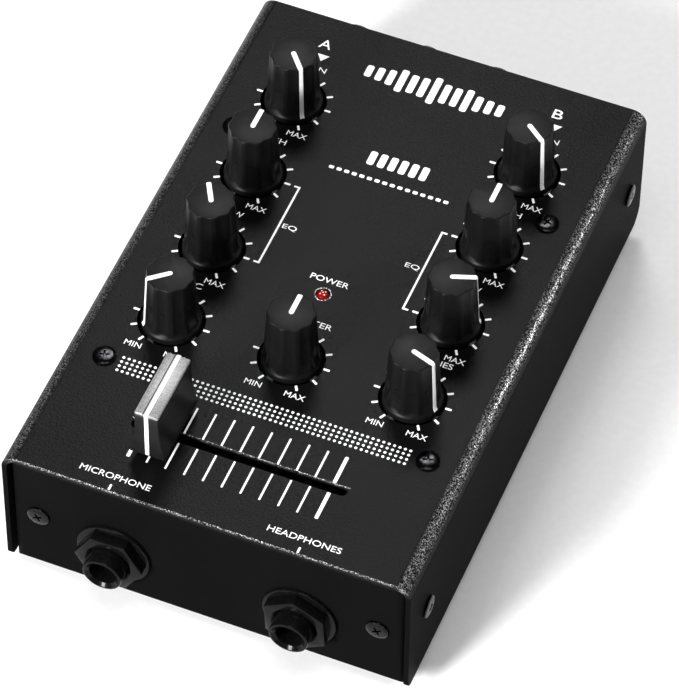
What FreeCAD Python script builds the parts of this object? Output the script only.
import FreeCAD
import Part
import math
import os
import re

import Sketcher

# A small two-channel disc jockey mixer in a folded steel case. Millimetres, +Z up, +Y to the rear,
# origin on the table under the middle of the whole object.

Vector = FreeCAD.Vector
Rotation = FreeCAD.Rotation
doc = FreeCAD.newDocument("dj_mixer")

# ---------------------------------------------------------------- driving dimensions
SIZES = {
    # case
    "body_width": 97.7,
    "body_length": 150.2,
    "body_height": 37.6,
    "sheet": 1.2,
    "cover_bend": 3.6,
    "tray_bend": 2.0,
    "corner_trim": 2.0,
    "panel_recess": 1.0,
    "side_gap": 0.3,
    "side_lift": 1.0,
    "flap_corner_front": 2.0,
    "flap_corner_rear": 4.5,
    "flange_reach": 17.0,
    "foot_height": 2.5,
    "foot_radius": 5.0,
    "foot_inset": 13.0,
    # what stands proud of the case, front and rear
    "front_proud": 6.4,
    "rear_proud": 8.0,
    # controls, places counted from the front edge of the cover
    "column": 29.35,
    "row_front": 50.0,
    "row_low": 73.3,
    "row_high": 97.7,
    "row_gain": 122.1,
    "knob_hole": 7.85,
    "knob_skirt": 6.9,
    "knob_foot": 6.35,
    "knob_crown": 5.55,
    "knob_height": 16.5,
    "knob_sink": 0.6,
    "knob_wall": 1.1,
    "knob_boss": 4.3,
    "flute_count": 10,
    "flute_radius": 3.0,
    "flute_reach": 0.36,
    "socket_depth": 12.6,
    "shaft_radius": 3.0,
    "shaft_flat": 1.5,
    "running_gap": 0.05,
    "pot_width": 11.0,
    "pot_depth": 12.0,
    "pot_height": 6.8,
    "collar_radius": 4.2,
    "collar_height": 2.8,
    # crossfader
    "fader_row": 19.7,
    "fader_slot": 51.8,
    "slot_width": 2.6,
    "fader_rest": -18.0,
    "cap_lift": 2.5,
    "cap_height": 14.4,
    "cap_length": 18.4,
    "cap_crown": 5.7,
    "cap_foot": 8.6,
    "tongue_width": 4.0,
    "tongue_thick": 1.2,
    "fader_body_length": 62.0,
    "fader_body_width": 13.0,
    "fader_body_height": 8.6,
    "fader_wall": 1.0,
    "rail_radius": 1.0,
    "rail_spread": 3.2,
    "carriage_length": 9.0,
    "carriage_width": 9.6,
    "carriage_height": 4.6,
    # lamp
    "lamp_column": -0.6,
    "lamp_row": 70.2,
    "lamp_hole": 1.75,
    "lamp_radius": 1.5,
    "lamp_length": 4.4,
    "lamp_lift": 0.6,
    # boards
    "board_drop": 13.0,
    "board_thick": 1.6,
    "board_width": 88.0,
    "board_front": 4.0,
    "board_back": 136.2,
    "rear_board_width": 71.0,
    "rear_board_height": 30.0,
    "link_length": 40.0,
    "link_size": 2.5,
    "socket_block": 10.0,
    # fasteners
    "screw_head": 2.75,
    "screw_head_height": 0.8,
    "screw_shank": 1.4,
    "screw_hole": 1.6,
    "screw_length": 6.0,
    "top_screw_column": 39.1,
    "top_screw_front": 34.6,
    "top_screw_rear": 109.4,
    "panel_screw_column": 40.9,
    "panel_screw_drop": 19.1,
    "side_screw_front": 11.0,
    "side_screw_rear": 9.4,
    "spacer_flats": 5.5,
    "bracket_width": 9.6,
    "bracket_sheet": 1.2,
    "bracket_drop": 8.3,
    "bracket_reach_front": 11.0,
    "bracket_reach_rear": 20.0,
    # quarter-inch jacks
    "jack_column": 22.5,
    "jack_drop": 23.2,
    "jack_bore": 3.25,
    "jack_bore_depth": 31.0,
    "bushing_radius": 4.7,
    "jack_width": 15.6,
    "jack_height": 14.8,
    "jack_length": 25.0,
    "nut_flats": 14.3,
    "nut_height": 3.7,
    "nut_collar": 8.9,
    "nut_collar_height": 1.0,
    # phono sockets and power inlet at the rear
    "phono_pitch": 18.0,
    "phono_spread": 7.0,
    "phono_middle": 20.3,
    "phono_radius": 4.15,
    "phono_bore": 3.3,
    "phono_contact": 1.6,
    "phono_collar": 4.5,
    "phono_block_width": 13.0,
    "phono_block_height": 27.0,
    "inlet_width": 9.0,
    "inlet_height": 11.0,
    "inlet_bore": 3.15,
    "inlet_pin": 1.0,
}

sheet = doc.addObject("Spreadsheet::Sheet", "Sizes")
for line, (word, size) in enumerate(SIZES.items(), start=1):
    sheet.set(f"A{line}", word)
    sheet.set(f"B{line}", str(size))
    sheet.setAlias(f"B{line}", word)
doc.recompute()


def full(formula):
    """A formula with every sheet word given its sheet's name."""
    return re.sub("[a-z_]+", lambda found: f"Sizes.{found[0]}" if found[0] in SIZES else found[0],
                  str(formula))


def number(formula):
    """The value of a formula in the sheet's words."""
    return float(sheet.evalExpression(full(formula)))


# Levels and places that several sub-parts share, as formulas in the sheet's words.
TOP = "foot_height + body_height"
UNDER_TOP = f"{TOP} - sheet"
BOARD_TOP = f"{UNDER_TOP} - board_drop"
BOARD_UNDER = f"{BOARD_TOP} - board_thick"
MIDDLE = "( front_proud - rear_proud ) / 2"
FRONT_EDGE = f"{MIDDLE} - body_length / 2"
REAR_EDGE = f"{MIDDLE} + body_length / 2"
FRONT_FACE = f"{FRONT_EDGE} + panel_recess"
REAR_FACE = f"{REAR_EDGE} - panel_recess"
TRAY_HALF = "body_width / 2 - sheet - side_gap"
JACK_LEVEL = f"{TOP} - jack_drop"
PANEL_SCREW_LEVEL = f"{TOP} - panel_screw_drop"
REAR_BOARD_FACE = f"{REAR_FACE} - sheet - socket_block"


# ---------------------------------------------------------------- helpers
def bind(item, **formulas):
    """Bind properties of an object to the sheet."""
    for name, formula in formulas.items():
        item.setExpression(name.replace("__", "."), full(formula))
    return item


def put(item, x="0", y="0", z="0"):
    """Bind the place of an object to the sheet."""
    return bind(item, Placement__Base__x=x, Placement__Base__y=y, Placement__Base__z=z)


def box(name, length, width, height, x="0", y="0", z="0"):
    """A block centred on x and y that stands on z."""
    item = doc.addObject("Part::Box", name)
    bind(item, Length=length, Width=width, Height=height)
    return put(item, f"( {x} ) - ( {length} ) / 2", f"( {y} ) - ( {width} ) / 2", z)


def rod(name, radius, height, x="0", y="0", z="0", axis=(0, 0, 1)):
    """A cylinder that starts at a point and runs along an axis."""
    item = doc.addObject("Part::Cylinder", name)
    bind(item, Radius=radius, Height=height)
    item.Placement = FreeCAD.Placement(Vector(), Rotation(Vector(0, 0, 1), Vector(*axis)))
    return put(item, x, y, z)


def cone(name, low, high, height, x="0", y="0", z="0", axis=(0, 0, 1)):
    """A cone frustum that starts at a point and runs along an axis."""
    item = doc.addObject("Part::Cone", name)
    bind(item, Radius1=low, Radius2=high, Height=height)
    item.Placement = FreeCAD.Placement(Vector(), Rotation(Vector(0, 0, 1), Vector(*axis)))
    return put(item, x, y, z)


def fuse(name, *pieces):
    """One solid out of several that touch."""
    item = doc.addObject("Part::MultiFuse", name)
    item.Shapes = list(pieces)
    item.Refine = True
    return item


def cut(name, base, *tools):
    """A base with tools taken away."""
    tool = tools[0]
    if len(tools) > 1:
        tool = doc.addObject("Part::Compound", f"{name}_tools")
        tool.Links = list(tools)
    item = doc.addObject("Part::Cut", name)
    item.Base = base
    item.Tool = tool
    return item


def group(name, *pieces):
    """Separate solids that share one node."""
    item = doc.addObject("Part::Compound", name)
    item.Links = list(pieces)
    return item


def copy_of(master, name, x, y, z, turn=None):
    """A linked copy of a master solid at a place of its own."""
    item = doc.addObject("App::Link", name)
    item.LinkedObject = master
    item.LinkTransform = False
    item.Placement = FreeCAD.Placement(Vector(), turn or Rotation())
    return put(item, x, y, z)


def body(name, x="0", y="0", z="0"):
    """An empty PartDesign body at its place."""
    item = doc.addObject("PartDesign::Body", name)
    return put(item, x, y, z)


def plane(owner, role):
    """One of a body's own origin planes."""
    return next(item for item in owner.Origin.OriginFeatures if item.Role == role)


def sketch(owner, name, role="XY_Plane", offset="0"):
    """An empty sketch on an origin plane, offset along the plane's normal."""
    item = owner.newObject("Sketcher::SketchObject", name)
    item.AttachmentSupport = [(plane(owner, role), "")]
    item.MapMode = "FlatFace"
    bind(item, AttachmentOffset__Base__z=offset)
    return item


def fix(item, kind, where, corner, formula):
    """A dimension of a sketch, bound to the sheet."""
    index = item.addConstraint(Sketcher.Constraint(kind, where, corner, number(formula)))
    item.setExpression(f"Constraints[{index}]", full(formula))


def outline(item, corners):
    """A closed outline of straight sides whose corners are pairs of formulas."""
    start = item.GeometryCount
    points = [Vector(number(across), number(along), 0) for across, along in corners]
    count = len(points)
    for index in range(count):
        item.addGeometry(Part.LineSegment(points[index], points[(index + 1) % count]))
    for index in range(count):
        after = start + (index + 1) % count
        item.addConstraint(Sketcher.Constraint("Coincident", start + index, 2, after, 1))
    for index, (across, along) in enumerate(corners):
        fix(item, "DistanceX", start + index, 1, across)
        fix(item, "DistanceY", start + index, 1, along)


def rectangle(item, across, along, x="0", y="0"):
    """A rectangle about a centre."""
    left, right = f"( {x} ) - ( {across} ) / 2", f"( {x} ) + ( {across} ) / 2"
    low, high = f"( {y} ) - ( {along} ) / 2", f"( {y} ) + ( {along} ) / 2"
    outline(item, [(left, low), (right, low), (right, high), (left, high)])


def circle(item, radius, x="0", y="0"):
    """A circle about a centre."""
    index = item.addGeometry(
        Part.Circle(Vector(number(x), number(y), 0), Vector(0, 0, 1), number(radius)))
    constraint = item.addConstraint(Sketcher.Constraint("Radius", index, number(radius)))
    item.setExpression(f"Constraints[{constraint}]", full(radius))
    fix(item, "DistanceX", index, 3, x)
    fix(item, "DistanceY", index, 3, y)


def hexagon(item, flats, turn):
    """A hexagon about the origin, its first corner turned from the sketch's x axis, in degrees."""
    corners = []
    for index in range(6):
        angle = turn + 60 * index
        reach = f"{flats} / 2 / cos(30)"
        corners.append((f"{reach} * cos({angle})", f"{reach} * sin({angle})"))
    outline(item, corners)


def pad(owner, profile, length, midplane=False, backwards=False):
    """A pad of a sketch."""
    item = owner.newObject("PartDesign::Pad", f"{profile.Name}_pad")
    item.Profile = profile
    item.Midplane = midplane
    item.Reversed = backwards
    bind(item, Length=length)
    return item


def pocket(owner, profile, length, backwards=False):
    """A pocket of a sketch, which must take material away."""
    doc.recompute()
    before = owner.Shape.Volume
    item = owner.newObject("PartDesign::Pocket", f"{profile.Name}_pocket")
    item.Profile = profile
    item.Reversed = backwards
    bind(item, Length=length)
    doc.recompute()
    if not owner.Shape.Volume < before - 1e-6:
        raise RuntimeError(f"{item.Name} cuts nothing")
    return item


def turned(owner, profile, kind="PartDesign::Revolution"):
    """A full turn of a sketch about the body's Z axis."""
    item = owner.newObject(kind, f"{profile.Name}_turn")
    item.Profile = profile
    item.ReferenceAxis = (profile, ["V_Axis"])
    item.Angle = 360
    return item


def soften(owner, radius, test, kind="PartDesign::Fillet"):
    """Fillet or chamfer the edges of the newest feature that a test of their middle picks."""
    doc.recompute()
    newest = owner.Tip
    picked = []
    for index, edge in enumerate(newest.Shape.Edges, start=1):
        middle = edge.valueAt((edge.FirstParameter + edge.LastParameter) / 2)
        if test(middle, edge):
            picked.append(f"Edge{index}")
    if not picked:
        raise RuntimeError(f"no edge to soften on {newest.Name}")
    item = owner.newObject(kind, f"{newest.Name}_soft")
    item.Base = (newest, picked)
    bind(item, **{"Radius" if kind.endswith("Fillet") else "Size": radius})
    return item


def near(first, second, slack=0.02):
    """True where two lengths agree."""
    return abs(first - second) < slack


# ---------------------------------------------------------------- case
KNOBS = {
    # name: column sign, row, rest angle of the pointer clockwise from the rear
    "gain_a": (-1, "row_gain", 140.0),
    "high_a": (-1, "row_high", 0.0),
    "low_a": (-1, "row_low", -29.0),
    "mic": (-1, "row_front", -130.0),
    "master": (0, "row_front", 0.0),
    "gain_b": (1, "row_gain", 128.0),
    "high_b": (1, "row_high", 0.0),
    "low_b": (1, "row_low", 70.0),
    "phones": (1, "row_front", 108.5),
}
TOP_SCREWS = [(side, row) for side in (-1, 1) for row in ("top_screw_front", "top_screw_rear")]
SIDES = (-1, 1)
PHONO_COLUMNS = {
    "a": "0 - 1.5 * phono_pitch",
    "b": "0 - 0.5 * phono_pitch",
    "out": "0.5 * phono_pitch",
}
INLET_COLUMN = "1.5 * phono_pitch"
BRACKET_HOLE_FRONT = "( panel_recess + sheet + bracket_reach_front * 0.6 )"
BRACKET_HOLE_REAR = "( board_back - 5 )"


def knob_place(name):
    """Where a knob's axis stands, across and along."""
    side, row, _ = KNOBS[name]
    return f"{side} * column", f"{FRONT_EDGE} + {row}"


def top_cover():
    """Top and both sides, folded out of one sheet, with the holes for the controls."""
    item = body("top_cover", "0", MIDDLE, TOP)
    rise = "body_height - side_lift"
    outer = sketch(item, "cover_outer", "XZ_Plane")
    rectangle(outer, "body_width", rise, "0", f"0 - ( {rise} ) / 2")
    pad(item, outer, "body_length", midplane=True)
    half = number("body_width / 2")
    end = number("body_length / 2")
    low = -number(rise)
    soften(item, "cover_bend", lambda at, edge: near(at.z, 0) and near(abs(at.x), half))
    soften(item, "flap_corner_front", lambda at, edge: near(at.z, low) and near(at.y, -end))
    soften(item, "flap_corner_rear", lambda at, edge: near(at.z, low) and near(at.y, end))
    inner = sketch(item, "cover_inner", "XZ_Plane")
    rectangle(inner, "body_width - 2 * sheet", rise, "0", f"0 - ( {rise} ) / 2 - sheet")
    hollow = pocket(item, inner, "body_length + 2")
    hollow.Midplane = True
    inside = number("body_width / 2 - sheet")
    under = -number("sheet")
    soften(item, "cover_bend - sheet",
           lambda at, edge: near(at.z, under) and near(abs(at.x), inside))
    holes = sketch(item, "cover_holes")
    for name, (side, row, _) in KNOBS.items():
        circle(holes, "knob_hole", f"{side} * column", f"{row} - body_length / 2")
    for side, row in TOP_SCREWS:
        circle(holes, "screw_hole", f"{side} * top_screw_column", f"{row} - body_length / 2")
    circle(holes, "lamp_hole", "lamp_column", "lamp_row - body_length / 2")
    pocket(item, holes, "sheet + 1")
    slot = sketch(item, "cover_slot")
    slot_half = "( fader_slot - slot_width ) / 2"
    rectangle(slot, f"2 * {slot_half}", "slot_width", "0", "fader_row - body_length / 2")
    pocket(item, slot, "sheet + 1")
    ends = sketch(item, "cover_slot_ends")
    for side in SIDES:
        circle(ends, "slot_width / 2", f"{side} * {slot_half}", "fader_row - body_length / 2")
    pocket(item, ends, "sheet + 1")
    side_holes = sketch(item, "cover_side_holes", "YZ_Plane")
    circle(side_holes, "screw_hole", "side_screw_front - body_length / 2", "0 - panel_screw_drop")
    circle(side_holes, "screw_hole", "body_length / 2 - side_screw_rear", "0 - panel_screw_drop")
    through = pocket(item, side_holes, "body_width + 2")
    through.Midplane = True
    return item


def bottom_tray():
    """Bottom, front panel and rear panel, folded out of one sheet, with flanges turned inwards."""
    item = body("bottom_tray", "0", MIDDLE, "foot_height")
    across = f"2 * ( {TRAY_HALF} )"
    along = "body_length - 2 * panel_recess"
    rise = "body_height - sheet - side_gap"
    outer = sketch(item, "tray_outer")
    rectangle(outer, across, along)
    pad(item, outer, rise)
    half = number(TRAY_HALF)
    end = number(f"( {along} ) / 2")
    soften(item, "tray_bend",
           lambda at, edge: near(abs(at.y), end) and (near(at.z, 0) or near(abs(at.x), half)))
    inner = sketch(item, "tray_inner", "XY_Plane", "sheet")
    rectangle(inner, f"{across} - 2 * sheet", f"{along} - 2 * sheet")
    pocket(item, inner, rise, backwards=True)
    sides = sketch(item, "tray_sides", "XY_Plane", "sheet")
    rectangle(sides, f"{across} + 2", f"{along} - 2 * flange_reach")
    pocket(item, sides, rise, backwards=True)
    corners = sketch(item, "tray_corners", "XZ_Plane")
    for side in SIDES:
        edge = f"{side} * ( {TRAY_HALF} + 0.1 )"
        outline(corners, [(edge, rise), (edge, f"{rise} - corner_trim"),
                          (f"{edge} - {side} * corner_trim", rise)])
    pocket(item, corners, "body_length + 2").Midplane = True
    front = sketch(item, "tray_front_holes", "XZ_Plane")
    for side in SIDES:
        circle(front, "bushing_radius + 0.15", f"{side} * jack_column", "body_height - jack_drop")
    pocket(item, front, "body_length", backwards=True)
    screws = sketch(item, "tray_screw_holes", "XZ_Plane")
    for side in SIDES:
        circle(screws, "screw_hole", f"{side} * panel_screw_column", "body_height - panel_screw_drop")
    pocket(item, screws, "body_length + 2").Midplane = True
    rear = sketch(item, "tray_rear_holes", "XZ_Plane")
    for column in PHONO_COLUMNS.values():
        for side in SIDES:
            level = f"phono_middle - foot_height + {side} * phono_spread"
            circle(rear, "phono_collar + 0.15", column, level)
    circle(rear, "inlet_bore + 0.6", INLET_COLUMN, "phono_middle - foot_height")
    pocket(item, rear, "body_length")
    flanges = sketch(item, "tray_flange_holes", "YZ_Plane")
    level = "body_height - panel_screw_drop"
    circle(flanges, "screw_shank + 0.05", "side_screw_front - body_length / 2", level)
    circle(flanges, "screw_shank + 0.05", "body_length / 2 - side_screw_rear", level)
    pocket(item, flanges, "body_width + 2").Midplane = True
    return item


def rubber_feet():
    """Four round feet under the corners of the tray."""
    feet = []
    for side in SIDES:
        for end in SIDES:
            name = f"foot_{len(feet) + 1}"
            across = f"{side} * ( body_width / 2 - foot_inset )"
            along = f"{MIDDLE} + {end} * ( body_length / 2 - foot_inset )"
            feet.append(cone(name, "foot_radius * 0.86", "foot_radius", "foot_height", across, along))
    return group("rubber_feet", *feet)


# ---------------------------------------------------------------- screws and what they hold
def screw_master():
    """A pan-head screw with a cross recess, its head above the origin and its shank below."""
    rim = "screw_head_height * 0.45"
    head = rod("head_rim", "screw_head", rim)
    crown = cone("head_crown", "screw_head", "screw_head * 0.66", f"screw_head_height - {rim}", z=rim)
    shank = rod("shank", "screw_shank", "screw_length", z="0 - screw_length")
    blank = fuse("screw_blank", head, crown, shank)
    wide, thin, deep = "screw_head * 1.1", "screw_head * 0.24", "screw_head_height * 0.75"
    first = box("recess_across", wide, thin, deep, z=f"screw_head_height - {deep}")
    second = box("recess_along", thin, wide, deep, z=f"screw_head_height - {deep}")
    return cut("screw_master", blank, first, second)


def screws(name, master, places, axis):
    """Copies of the screw with their heads towards an axis."""
    turn = Rotation(Vector(0, 0, 1), Vector(*axis))
    return [copy_of(master, f"{name}_{index + 1}", *place, turn)
            for index, place in enumerate(places)]


def all_screws(master):
    """The five sets of screws."""
    column = "top_screw_column"
    top = [(f"{side} * {column}", f"{FRONT_EDGE} + {row}", TOP) for side, row in TOP_SCREWS]
    under = [(x, y, BOARD_UNDER) for x, y, _ in top]
    on_board = [(f"{side} * panel_screw_column", f"{FRONT_EDGE} + {row}", BOARD_TOP)
                for side in SIDES for row in (BRACKET_HOLE_FRONT, BRACKET_HOLE_REAR)]
    front = [(f"{side} * panel_screw_column", FRONT_FACE, PANEL_SCREW_LEVEL) for side in SIDES]
    rear = [(f"{side} * panel_screw_column", REAR_FACE, PANEL_SCREW_LEVEL) for side in SIDES]
    near_edge = f"{FRONT_EDGE} + side_screw_front"
    far_edge = f"{REAR_EDGE} - side_screw_rear"
    left = [("0 - body_width / 2", y, PANEL_SCREW_LEVEL) for y in (near_edge, far_edge)]
    right = [("body_width / 2", y, PANEL_SCREW_LEVEL) for y in (near_edge, far_edge)]
    group("top_screws", *screws("top_screw", master, top, (0, 0, 1)))
    group("board_screws", *screws("under_screw", master, under, (0, 0, -1)),
          *screws("bracket_screw", master, on_board, (0, 0, 1)))
    group("panel_screws", *screws("front_screw", master, front, (0, -1, 0)),
          *screws("rear_screw", master, rear, (0, 1, 0)))
    group("side_screws", *screws("left_screw", master, left, (-1, 0, 0)),
          *screws("right_screw", master, right, (1, 0, 0)))


def spacer(name, x, y):
    """A hexagonal spacer between the board and the cover, tapped right through."""
    item = body(name, x, y, BOARD_TOP)
    rim = sketch(item, f"{name}_rim")
    hexagon(rim, "spacer_flats", 0)
    pad(item, rim, "board_drop")
    bore = sketch(item, f"{name}_bore")
    circle(bore, "screw_shank + 0.05")
    pocket(item, bore, "board_drop + 1", backwards=True)
    return item


def board_spacers():
    """The four spacers."""
    return group("board_spacers", *[
        spacer(f"spacer_{index + 1}", f"{side} * top_screw_column", f"{FRONT_EDGE} + {row}")
        for index, (side, row) in enumerate(TOP_SCREWS)])


def board_bracket(name, side, end):
    """An angle that carries one corner of the main board on the front or rear panel."""
    x = f"{side} * panel_screw_column"
    reach = "bracket_reach_front" if end < 0 else "bracket_reach_rear"
    face = f"{FRONT_FACE} + sheet" if end < 0 else f"{REAR_FACE} - sheet"
    low = f"{BOARD_UNDER} - bracket_drop"
    leg = box(f"{name}_leg", "bracket_width", "bracket_sheet", "bracket_drop",
              x, f"{face} - {end} * bracket_sheet / 2", low)
    shelf = box(f"{name}_shelf", "bracket_width", reach, "bracket_sheet",
                x, f"{face} - {end} * {reach} / 2", f"{BOARD_UNDER} - bracket_sheet")
    angle = fuse(f"{name}_angle", leg, shelf)
    tapped = rod(f"{name}_tapped", "screw_shank + 0.05", "4 * bracket_sheet",
                 x, f"{face} - {end} * 2 * bracket_sheet", PANEL_SCREW_LEVEL, (0, end, 0))
    hole_row = BRACKET_HOLE_FRONT if end < 0 else BRACKET_HOLE_REAR
    hole = rod(f"{name}_hole", "screw_shank + 0.05", "4 * bracket_sheet",
               x, f"{FRONT_EDGE} + {hole_row}", f"{BOARD_UNDER} - 2 * bracket_sheet")
    return cut(name, angle, tapped, hole)


# ---------------------------------------------------------------- boards
def main_board():
    """The board that carries every control."""
    length = "board_back - board_front"
    plate = box("main_plate", "board_width", length, "board_thick",
                "0", f"{FRONT_EDGE} + ( board_front + board_back ) / 2", BOARD_UNDER)
    places = [(f"{side} * top_screw_column", row) for side, row in TOP_SCREWS]
    places += [(f"{side} * panel_screw_column", row)
               for side in SIDES for row in (BRACKET_HOLE_FRONT, BRACKET_HOLE_REAR)]
    holes = [rod(f"main_hole_{index + 1}", "screw_hole", "3 * board_thick",
                 x, f"{FRONT_EDGE} + {row}", f"{BOARD_UNDER} - board_thick")
             for index, (x, row) in enumerate(places)]
    return cut("main_board", plate, *holes)


def rear_board():
    """The upright board behind the rear sockets."""
    return box("rear_board", "rear_board_width", "board_thick", "rear_board_height",
               "0", f"{REAR_BOARD_FACE} - board_thick / 2", "phono_middle - rear_board_height / 2")


def board_link():
    """The pin strip that joins the two boards."""
    return box("board_link", "link_length", "link_size", "link_size",
               "0", f"{REAR_BOARD_FACE} - board_thick - link_size / 2", f"{BOARD_UNDER} - link_size")


# ---------------------------------------------------------------- rotary controls
def pot(name):
    """The body of a rotary potentiometer, with the collar its shaft turns in."""
    x, y = knob_place(name)
    case = box(f"{name}_pot_case", "pot_width", "pot_depth", "pot_height", x, y, BOARD_TOP)
    collar = rod(f"{name}_pot_collar", "collar_radius", "collar_height",
                 x, y, f"{BOARD_TOP} + pot_height")
    bore = rod(f"{name}_pot_bore", "shaft_radius + running_gap", "pot_height + collar_height",
               x, y, f"{BOARD_TOP} + 0.8")
    return cut(f"pot_{name}", fuse(f"{name}_pot_solid", case, collar), bore)


def shaft(name, angle):
    """The shaft of a potentiometer, with a flat along its upper half on the pointer's far side."""
    x, y = knob_place(name)
    foot = f"{BOARD_TOP} + 1.1"
    item = body(f"shaft_{name}", x, y, foot)
    length = f"{TOP} + socket_depth - ( {foot} )"
    round_bar = sketch(item, f"{name}_bar")
    circle(round_bar, "shaft_radius")
    pad(item, round_bar, length)
    flat = sketch(item, f"{name}_flat", "XY_Plane", f"{length} - socket_depth - 2")
    rectangle(flat, "3 * shaft_radius", "2 * shaft_radius", "0", "0 - 2 * shaft_radius + shaft_flat")
    pocket(item, flat, "socket_depth + 3", backwards=True)
    item.Placement.Rotation = Rotation(Vector(0, 0, 1), -angle)
    return item


def knob(name, angle):
    """A fluted, tapered push-on knob with a skirt that dips into the hole in the cover."""
    x, y = knob_place(name)
    item = body(f"knob_{name}", x, y, TOP)
    half = sketch(item, f"{name}_half", "XZ_Plane")
    outline(half, [
        ("0", "0 - knob_sink"),
        ("knob_skirt", "0 - knob_sink"),
        ("knob_skirt", "1.0"),
        ("knob_foot + 0.15", "1.5"),
        ("knob_foot", "2.2"),
        ("knob_crown", "knob_height - 0.35"),
        ("knob_crown - 0.35", "knob_height"),
        ("0", "knob_height"),
    ])
    turned(item, half)
    doc.recompute()
    flute = item.newObject("PartDesign::SubtractiveCylinder", f"{name}_flute")
    bind(flute, Radius="flute_radius", Height="knob_height + 1")
    slope = math.degrees(math.atan2(number("knob_foot - knob_crown"), number("knob_height - 2.5")))
    reach = number("knob_foot + flute_radius - flute_reach")
    lean = Rotation(Vector(0, 1, 0), -slope)
    flute.Placement = FreeCAD.Placement(Vector(reach, 0, 2.2), lean)
    flutes = item.newObject("PartDesign::PolarPattern", f"{name}_flutes")
    flutes.Originals = [flute]
    flutes.Axis = (half, ["V_Axis"])
    flutes.Angle = 360
    flutes.Occurrences = int(number("flute_count"))
    item.Tip = flutes
    doc.recompute()
    hollow = sketch(item, f"{name}_hollow", "XZ_Plane")
    outline(hollow, [
        ("knob_boss", "0 - knob_sink - 1"),
        ("knob_foot - knob_wall", "0 - knob_sink - 1"),
        ("knob_crown - knob_wall + 0.2", "knob_height * 0.6"),
        ("knob_boss", "knob_height * 0.6"),
    ])
    turned(item, hollow, "PartDesign::Groove")
    doc.recompute()
    socket = sketch(item, f"{name}_socket", "XY_Plane", "0 - knob_sink")
    d_shape(socket, "shaft_radius + 0.02", "shaft_flat")
    pocket(item, socket, "socket_depth + knob_sink", backwards=True)
    item.Placement.Rotation = Rotation(Vector(0, 0, 1), -angle)
    return item


def d_shape(item, radius, flat):
    """A circle with a flat on its near side."""
    size = number(radius)
    level = number(f"0 - ( {radius} ) + {flat}")
    corner = math.asin(level / size)
    arc = Part.ArcOfCircle(Part.Circle(Vector(), Vector(0, 0, 1), size), corner, math.pi - corner)
    curve = item.addGeometry(arc)
    chord = item.addGeometry(Part.LineSegment(arc.EndPoint, arc.StartPoint))
    item.addConstraint(Sketcher.Constraint("Coincident", curve, 2, chord, 1))
    item.addConstraint(Sketcher.Constraint("Coincident", chord, 2, curve, 1))
    item.addConstraint(Sketcher.Constraint("Coincident", curve, 3, -1, 1))
    item.addConstraint(Sketcher.Constraint("Horizontal", chord))
    index = item.addConstraint(Sketcher.Constraint("Radius", curve, size))
    item.setExpression(f"Constraints[{index}]", full(radius))
    fix(item, "DistanceY", chord, 1, f"0 - ( {radius} ) + {flat}")


# ---------------------------------------------------------------- crossfader
CARRIAGE_LOW = f"{BOARD_TOP} + fader_wall + 0.8"
RAIL_LEVEL = f"{CARRIAGE_LOW} + carriage_height / 2"
FADER_ROW = f"{FRONT_EDGE} + fader_row"


def crossfader_housing():
    """The pressed frame of the slide potentiometer, open along its top."""
    inner_long = "fader_body_length - 2 * fader_wall"
    inner_wide = "fader_body_width - 2 * fader_wall"
    inner_high = "fader_body_height - 2 * fader_wall"
    shell = box("fader_shell", "fader_body_length", "fader_body_width", "fader_body_height",
                "0", FADER_ROW, BOARD_TOP)
    inside = box("fader_inside", inner_long, inner_wide, inner_high,
                 "0", FADER_ROW, f"{BOARD_TOP} + fader_wall")
    mouth = box("fader_mouth", "fader_slot", "slot_width - 0.2", "3 * fader_wall",
                "0", FADER_ROW, f"{BOARD_TOP} + fader_body_height - 2 * fader_wall")
    seats = [rod(f"rail_seat_{index + 1}", "rail_radius + 0.02", "fader_body_length + 2",
                 "0 - fader_body_length / 2 - 1", f"{FADER_ROW} + {side} * rail_spread",
                 RAIL_LEVEL, (1, 0, 0))
             for index, side in enumerate(SIDES)]
    return cut("crossfader_housing", shell, inside, mouth, *seats)


def crossfader_rails():
    """The two round rails that the carriage runs on."""
    return group("crossfader_rails", *[
        rod(f"rail_{index + 1}", "rail_radius", "fader_body_length",
            "0 - fader_body_length / 2", f"{FADER_ROW} + {side} * rail_spread",
            RAIL_LEVEL, (1, 0, 0))
        for index, side in enumerate(SIDES)])


def crossfader_carriage():
    """The slider that carries the wipers."""
    block = box("carriage_block", "carriage_length", "carriage_width", "carriage_height",
                "fader_rest", FADER_ROW, CARRIAGE_LOW)
    bores = [rod(f"carriage_bore_{index + 1}", "rail_radius + running_gap", "carriage_length + 2",
                 "fader_rest - carriage_length / 2 - 1", f"{FADER_ROW} + {side} * rail_spread",
                 RAIL_LEVEL, (1, 0, 0))
             for index, side in enumerate(SIDES)]
    return cut("crossfader_carriage", block, *bores)


def crossfader_tongue():
    """The steel tongue that passes up through the slot."""
    low = f"{CARRIAGE_LOW} + carriage_height"
    return box("crossfader_tongue", "tongue_width", "tongue_thick",
               f"{TOP} + cap_lift + 8 - ( {low} )", "fader_rest", FADER_ROW, low)


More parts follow.
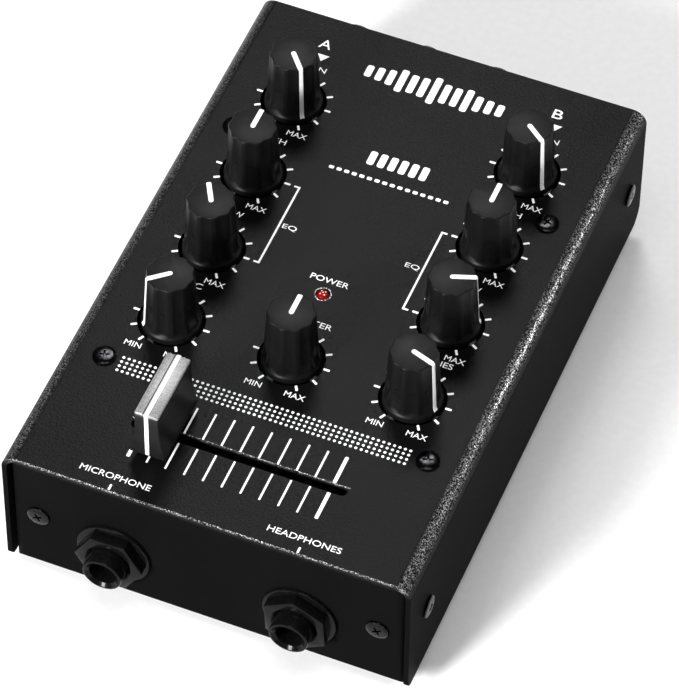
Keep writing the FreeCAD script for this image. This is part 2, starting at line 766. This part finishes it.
def crossfader_cap():
    """The grip, wide at its foot, with a socket for the tongue."""
    item = body("crossfader_cap", "fader_rest", FADER_ROW, f"{TOP} + cap_lift")
    end = sketch(item, "cap_end", "XZ_Plane")
    outline(end, [
        ("0 - cap_foot / 2", "0"),
        ("cap_foot / 2", "0"),
        ("cap_foot / 2", "0.8"),
        ("cap_foot / 2 - 0.7", "cap_height * 0.35"),
        ("cap_crown / 2", "cap_height - 0.9"),
        ("cap_crown / 2", "cap_height"),
        ("0 - cap_crown / 2", "cap_height"),
        ("0 - cap_crown / 2", "cap_height - 0.9"),
        ("0.7 - cap_foot / 2", "cap_height * 0.35"),
        ("0 - cap_foot / 2", "0.8"),
    ])
    pad(item, end, "cap_length", midplane=True)
    crown = number("cap_height")
    soften(item, "0.35", lambda at, edge: near(at.z, crown), "PartDesign::Chamfer")
    socket = sketch(item, "cap_socket")
    rectangle(socket, "tongue_width + 0.04", "tongue_thick + 0.04")
    pocket(item, socket, "8", backwards=True)
    return item


# ---------------------------------------------------------------- lamp
LAMP_FOOT = f"{TOP} + lamp_lift - lamp_radius - lamp_length"


def power_lamp():
    """A 3 mm lamp whose dome stands in its hole."""
    y = f"{FRONT_EDGE} + lamp_row"
    flange = rod("lamp_flange", "lamp_radius + 0.35", "1", "lamp_column", y, LAMP_FOOT)
    barrel = rod("lamp_barrel", "lamp_radius", "lamp_length - 1", "lamp_column", y, f"{LAMP_FOOT} + 1")
    dome = doc.addObject("Part::Sphere", "lamp_dome")
    bind(dome, Radius="lamp_radius")
    put(dome, "lamp_column", y, f"{LAMP_FOOT} + lamp_length")
    return fuse("power_lamp", flange, barrel, dome)


def lamp_spacer():
    """The sleeve that holds the lamp above the board."""
    y = f"{FRONT_EDGE} + lamp_row"
    height = f"{LAMP_FOOT} - ( {BOARD_TOP} )"
    sleeve = rod("lamp_sleeve", "lamp_radius + 0.6", height, "lamp_column", y, BOARD_TOP)
    bore = rod("lamp_sleeve_bore", "lamp_radius * 0.6", f"{height} + 2",
               "lamp_column", y, f"{BOARD_TOP} - 1")
    return cut("lamp_spacer", sleeve, bore)


# ---------------------------------------------------------------- jacks at the front
MOUTH = f"{FRONT_EDGE} - front_proud"


def jack(name, side):
    """A quarter-inch jack that hangs under the main board, with its bushing through the panel."""
    x = f"{side} * jack_column"
    face = f"{FRONT_FACE} + sheet"
    case = box(f"{name}_case", "jack_width", "jack_length", "jack_height",
               x, f"{face} + jack_length / 2", f"{JACK_LEVEL} - jack_height / 2")
    bushing = rod(f"{name}_bushing", "bushing_radius", f"{face} - ( {MOUTH} )",
                  x, MOUTH, JACK_LEVEL, (0, 1, 0))
    bore = rod(f"{name}_bore", "jack_bore", "jack_bore_depth", x, MOUTH, JACK_LEVEL, (0, 1, 0))
    flare = cone(f"{name}_flare", "jack_bore + 0.75", "jack_bore", "0.75",
                 x, MOUTH, JACK_LEVEL, (0, 1, 0))
    return cut(name, fuse(f"{name}_solid", case, bushing), bore, flare)


def jack_nut(name, side, turn):
    """The collared nut that clamps a jack to the panel."""
    item = body(name, f"{side} * jack_column", FRONT_FACE, JACK_LEVEL)
    collar = sketch(item, f"{name}_collar", "XZ_Plane")
    circle(collar, "nut_collar")
    pad(item, collar, "nut_collar_height")
    flats = sketch(item, f"{name}_flats", "XZ_Plane")
    hexagon(flats, "nut_flats", turn)
    pad(item, flats, "nut_height")
    bore = sketch(item, f"{name}_bore", "XZ_Plane")
    circle(bore, "bushing_radius + 0.05")
    pocket(item, bore, "nut_height + 1", backwards=True)
    return item


# ---------------------------------------------------------------- sockets at the rear
def phono_block(name, x):
    """The moulded block of a stacked pair of phono sockets."""
    face = f"{REAR_FACE} - sheet"
    solid = [box(f"phono_{name}_case", "phono_block_width", "socket_block", "phono_block_height",
                 x, f"{face} - socket_block / 2", "phono_middle - phono_block_height / 2")]
    holes = []
    for side in SIDES:
        level = f"phono_middle + {side} * phono_spread"
        word = "low" if side < 0 else "high"
        solid.append(rod(f"phono_{name}_core_{word}", "phono_bore - 0.03",
                         "sheet + panel_recess + rear_proud - 0.6",
                         x, face, level, (0, 1, 0)))
        holes.append(rod(f"phono_{name}_hole_{word}", "phono_contact",
                         "sheet + panel_recess + rear_proud + 6",
                         x, f"{face} - 6", level, (0, 1, 0)))
    return cut(f"phono_block_{name}", fuse(f"phono_{name}_solid", *solid), *holes)


def phono_shells(name, x):
    """The two plated shells of a pair of phono sockets."""
    face = f"{REAR_FACE} - sheet"
    shells = []
    for side in SIDES:
        level = f"phono_middle + {side} * phono_spread"
        word = "low" if side < 0 else "high"
        collar = rod(f"shell_{name}_collar_{word}", "phono_collar", "sheet", x, face, level, (0, 1, 0))
        barrel = rod(f"shell_{name}_barrel_{word}", "phono_radius", "panel_recess + rear_proud",
                     x, REAR_FACE, level, (0, 1, 0))
        bore = rod(f"shell_{name}_bore_{word}", "phono_bore", "panel_recess + rear_proud + 4",
                   x, f"{face} - 1", level, (0, 1, 0))
        shells.append(cut(f"shell_{name}_{word}",
                          fuse(f"shell_{name}_solid_{word}", collar, barrel), bore))
    return group(f"phono_shells_{name}", *shells)


def dc_inlet():
    """The barrel inlet for the power adapter."""
    face = f"{REAR_FACE} - sheet"
    case = box("inlet_case", "inlet_width", "socket_block", "inlet_height",
               INLET_COLUMN, f"{face} - socket_block / 2", "phono_middle - inlet_height / 2")
    nose = rod("inlet_nose", "inlet_bore + 0.45", "sheet",
               INLET_COLUMN, face, "phono_middle", (0, 1, 0))
    bore = rod("inlet_bore_hole", "inlet_bore", "sheet + socket_block - 1",
               INLET_COLUMN, f"{face} - socket_block + 1", "phono_middle", (0, 1, 0))
    pin = rod("inlet_pin_rod", "inlet_pin", "sheet + socket_block - 2",
              INLET_COLUMN, f"{face} - socket_block + 0.5", "phono_middle", (0, 1, 0))
    hollow = cut("inlet_hollow", fuse("inlet_solid", case, nose), bore)
    return fuse("dc_inlet", hollow, pin)


# ---------------------------------------------------------------- the whole object
def build():
    """Make every sub-part and give back their names."""
    top_cover()
    bottom_tray()
    rubber_feet()
    all_screws(screw_master())
    board_spacers()
    for side, hand in ((-1, "left"), (1, "right")):
        board_bracket(f"board_bracket_front_{hand}", side, -1)
        board_bracket(f"board_bracket_rear_{hand}", side, 1)
    main_board()
    rear_board()
    board_link()
    for name, (_, _, angle) in KNOBS.items():
        pot(name)
        shaft(name, angle)
        knob(name, angle)
    crossfader_housing()
    crossfader_rails()
    crossfader_carriage()
    crossfader_tongue()
    crossfader_cap()
    power_lamp()
    lamp_spacer()
    jack("mic_jack", -1)
    jack("phones_jack", 1)
    jack_nut("mic_jack_nut", -1, 0)
    jack_nut("phones_jack_nut", 1, 27)
    for name, column in PHONO_COLUMNS.items():
        phono_block(name, column)
        phono_shells(name, column)
    dc_inlet()
    names = ["top_cover", "bottom_tray", "rubber_feet", "top_screws", "board_screws"]
    names += ["panel_screws", "side_screws", "board_spacers", "main_board", "rear_board"]
    names += ["board_link", "crossfader_housing", "crossfader_rails", "crossfader_carriage"]
    names += ["crossfader_tongue", "crossfader_cap", "power_lamp", "lamp_spacer", "mic_jack"]
    names += ["phones_jack", "mic_jack_nut", "phones_jack_nut", "dc_inlet"]
    names += [f"board_bracket_{end}_{hand}" for end in ("front", "rear") for hand in ("left", "right")]
    names += [f"{part}_{name}" for part in ("pot", "shaft", "knob") for name in KNOBS]
    names += [f"phono_{part}_{name}" for part in ("block", "shells") for name in PHONO_COLUMNS]
    return names


def check_and_write(names):
    """Stop on anything broken, then write one file for each sub-part."""
    doc.recompute()
    for item in doc.Objects:
        if "Invalid" in item.State or "Error" in item.State:
            raise RuntimeError(f"{item.Name} failed: {item.State}")
    for name in names:
        shape = doc.getObject(name).Shape
        if shape.isNull() or not shape.isValid() or not shape.Solids:
            raise RuntimeError(f"{name} has no valid solid")
    os.makedirs("parts", exist_ok=True)
    for name in names:
        doc.getObject(name).Shape.exportStep(f"parts/{name}.step")
    print(f"wrote {len(names)} sub-parts")


check_and_write(build())
